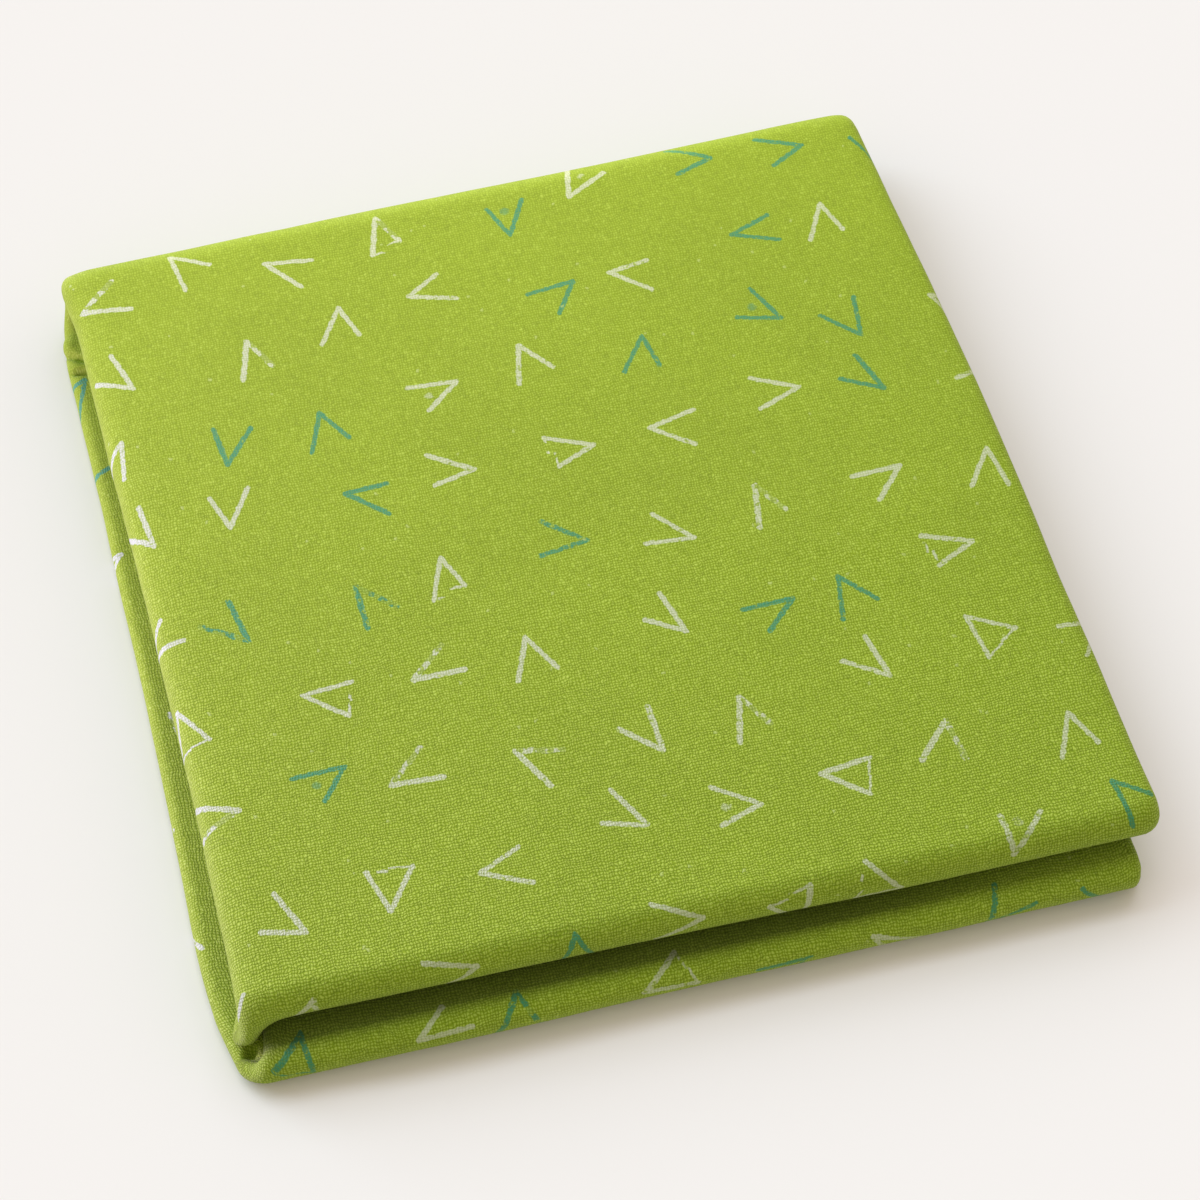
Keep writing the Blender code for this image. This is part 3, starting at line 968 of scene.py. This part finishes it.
# Colours are linear. The ground is the dyed cloth, the inks are printed on it. Ranges are from, to, and
# the values there.
cotton = {
    # The crown is lighter and the pit darker partly as painted shade between the threads, besides their own
    # colour.
    "crown": (0.280, 0.400, 0.017, 1.0),
    "pit": (0.112, 0.186, 0.000, 1.0),
    # Slub colour: of slubs and neps, and also of the painted highlight on the highest threads.
    "slub": (0.36, 0.46, 0.13, 1.0),
    "cream": (0.415, 0.478, 0.285, 1.0),
    "teal": (0.030, 0.205, 0.100, 1.0),
    "roughness": 0.88,
    "sheen": 0.24,
    "sheenRoughness": 0.40,
    "sheenTint": (0.85, 0.95, 0.35, 1.0),
    "specular": 0.25,
    "bump": 0.00020,
    "spineAt": 0.142,                       # along the flat cloth
    "marksFrom": (0.0, -0.012, 0.0),        # puts a line of marks on the lower front fold
    "relief": (0.02, 0.27, 0.40, 0.90),     # by the way from the spine
    "middleHeight": 0.45,
    "lift": (0.05, 0.85, 0.0, 1.0),         # from pit to crown, by the threads' height; the darker pits are partly painted shade
    "crestHighlight": (0.62, 1.0, 0.0, 0.30),        # painted highlight: slub colour on the highest threads
    "toning": (-1.0, 1.0, 0.80, 1.16),      # by the threads' tone
    "paler": (0.1, 0.8, 0.0, 0.10),         # slub colour on the palest threads
    "broadWaves": 17.0,                     # per metre
    "broad": (0.3, 0.7, 0.965, 1.035),
    "inkToning": (-1.0, 1.0, 0.90, 1.10),   # by the threads' tone
    "inkCover": (0.05, 0.65, 0.45, 0.95),   # by the threads' height
    "nep": 0.5,                             # how much of the slub colour a nep has
    # painted shade under the upper front fold: from none to full, the colour goes down to this share
    "paintedShadeLevel": (0.0, 1.0, 1.0, 0.40),
}


def clothMaterial(name, inkShare, paleness):
    material = bpy.data.materials.new(name)
    material.use_nodes = True
    tree = material.node_tree
    surface = tree.nodes["Principled BSDF"]
    where = tree.nodes.new("ShaderNodeUVMap")
    where.uv_map = "cloth"
    flatPlace = where.outputs[0]
    threads = place(tree, weave, {"Coordinate": flatPlace})
    printed = place(tree, marks, {"Coordinate": vectorCalc(tree, "ADD", flatPlace, cotton["marksFrom"])})
    # The weave lies flatter towards the spine.
    lengthwise = split(tree, flatPlace)[1]
    fromSpine = calc(tree, "ABSOLUTE", calc(tree, "SUBTRACT", lengthwise, cotton["spineAt"]))
    relief = ramp(tree, fromSpine, cotton["relief"])
    lift = calc(tree, "SUBTRACT", threads["Height"], cotton["middleHeight"])
    lift = calc(tree, "MULTIPLY_ADD", lift, relief, cotton["middleHeight"])
    lift = ramp(tree, lift, cotton["lift"])
    # Pit to crown is partly painted shade: the gaps between the threads are darker where their shade falls.
    ground = blendColors(tree, lift, cotton["pit"], cotton["crown"])
    # The highest threads take a painted highlight in slub colour.
    ground = blendColors(tree, ramp(tree, lift, cotton["crestHighlight"]), ground, cotton["slub"])
    ground = dimmed(tree, ground, ramp(tree, threads["Tone"], cotton["toning"]))
    ground = blendColors(tree, ramp(tree, threads["Tone"], cotton["paler"]), ground, cotton["slub"])
    broad = grainNoise(tree, flatPlace, cotton["broadWaves"], 3.0)
    ground = dimmed(tree, ground, ramp(tree, broad, cotton["broad"]))
    ground = blendColors(tree, paleness, ground, cotton["slub"])
    ink = blendColors(tree, printed["Second"], cotton["cream"], cotton["teal"])
    ink = dimmed(tree, ink, ramp(tree, threads["Tone"], cotton["inkToning"]))
    cover = calc(tree, "MULTIPLY", printed["Ink"], ramp(tree, threads["Height"], cotton["inkCover"]))
    cover = calc(tree, "MULTIPLY", cover, inkShare)
    color = blendColors(tree, cover, ground, ink)
    neps = calc(tree, "MULTIPLY", threads["Nep"], cotton["nep"])
    color = blendColors(tree, neps, color, cotton["slub"])
    # Painted shade where the lower front fold runs in under the upper one.
    paintedShadeNode = tree.nodes.new("ShaderNodeAttribute")
    paintedShadeNode.attribute_name = "paintedShade"
    color = dimmed(tree, color, ramp(tree, paintedShadeNode.outputs["Fac"], cotton["paintedShadeLevel"]))
    plug(tree, surface.inputs["Base Color"], color)
    surface.inputs["Roughness"].default_value = cotton["roughness"]
    surface.inputs["Sheen Weight"].default_value = cotton["sheen"]
    surface.inputs["Sheen Roughness"].default_value = cotton["sheenRoughness"]
    surface.inputs["Sheen Tint"].default_value = cotton["sheenTint"]
    surface.inputs["Specular IOR Level"].default_value = cotton["specular"]
    bump = tree.nodes.new("ShaderNodeBump")
    bump.inputs["Distance"].default_value = cotton["bump"]
    bump.inputs["Strength"].default_value = 1.0
    plug(tree, bump.inputs["Height"], calc(tree, "MULTIPLY", threads["Height"], relief))
    plug(tree, surface.inputs["Normal"], bump.outputs[0])
    return material


# The print hardly shows through to the wrong side, which is paler.
sheetData.materials.append(clothMaterial("printed cotton, right side", inkShare=1.0, paleness=0.0))
sheetData.materials.append(clothMaterial("printed cotton, wrong side", inkShare=0.12, paleness=0.25))
print("cloth finished")

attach(sheet, "root")
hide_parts("folded_cloth")

# The studio: a plain pale floor in a warm, even surround, two wide soft lights from the back left and
# the back, and two small ones that only the cloth takes.
studio = {
    "floor": (0.83, 0.817, 0.822, 1.0),
    "floorReach": 4.0,
    "floorRoughness": 0.9,
    "floorSpecular": 0.1,
    "surround": (0.73, 0.635, 0.53, 1.0),
}
wideLights = (
    # bearing from the back towards the right and rise in degrees, width in degrees, colour
    {"name": "key light", "bearing": -45.0, "rise": 35.0, "width": 45.0, "color": (1.00, 1.31, 1.52)},
    {"name": "back light", "bearing": 10.0, "rise": 60.0, "width": 45.0, "color": (0.77, 0.83, 0.93)},
)
clothLights = (
    {"name": "cloth light, back", "at": (0.0, 0.42, 0.20), "size": 0.15, "color": (1.70, 1.36, 1.55)},
    {"name": "cloth light, left", "at": (-0.38, 0.02, 0.10), "size": 0.12, "color": (1.15, 0.77, 2.45)},
)


def buildStudio():
    work = bmesh.new()
    bmesh.ops.create_grid(work, x_segments=1, y_segments=1, size=studio["floorReach"])
    data = bpy.data.meshes.new("floor")
    work.to_mesh(data)
    work.free()
    floor = linked("floor", data)
    floor.location.z = packetLow.z
    material = bpy.data.materials.new("pale floor")
    material.use_nodes = True
    surface = material.node_tree.nodes["Principled BSDF"]
    surface.inputs["Base Color"].default_value = studio["floor"]
    surface.inputs["Roughness"].default_value = studio["floorRoughness"]
    surface.inputs["Specular IOR Level"].default_value = studio["floorSpecular"]
    data.materials.append(material)
    for row in wideLights:
        lamp = bpy.data.lights.new(row["name"], "SUN")
        lamp.angle = math.radians(row["width"])
        lamp.energy = 1.0
        lamp.color = row["color"]
        bearing, rise = math.radians(row["bearing"]), math.radians(row["rise"])
        way = Vector((
            math.sin(bearing) * math.cos(rise),
            math.cos(bearing) * math.cos(rise),
            math.sin(rise),
        ))
        linked(row["name"], lamp).rotation_euler = (-way).to_track_quat("-Z", "Y").to_euler()
    onlyCloth = bpy.data.collections.new("cloth only")
    onlyCloth.objects.link(sheet)
    for row in clothLights:
        lamp = bpy.data.lights.new(row["name"], "AREA")
        lamp.size = row["size"]
        lamp.energy = 1.0
        lamp.color = row["color"]
        light = linked(row["name"], lamp)
        light.location = row["at"]
        light.rotation_euler = (-Vector(row["at"])).to_track_quat("-Z", "Y").to_euler()
        light.light_linking.receiver_collection = onlyCloth
    world = bpy.data.worlds.new("surround")
    world.use_nodes = True
    background = world.node_tree.nodes["Background"]
    background.inputs["Color"].default_value = studio["surround"]
    background.inputs["Strength"].default_value = 1.0
    bpy.context.scene.world = world
    bpy.context.scene.view_settings.view_transform = "Standard"


buildStudio()
print("studio built")
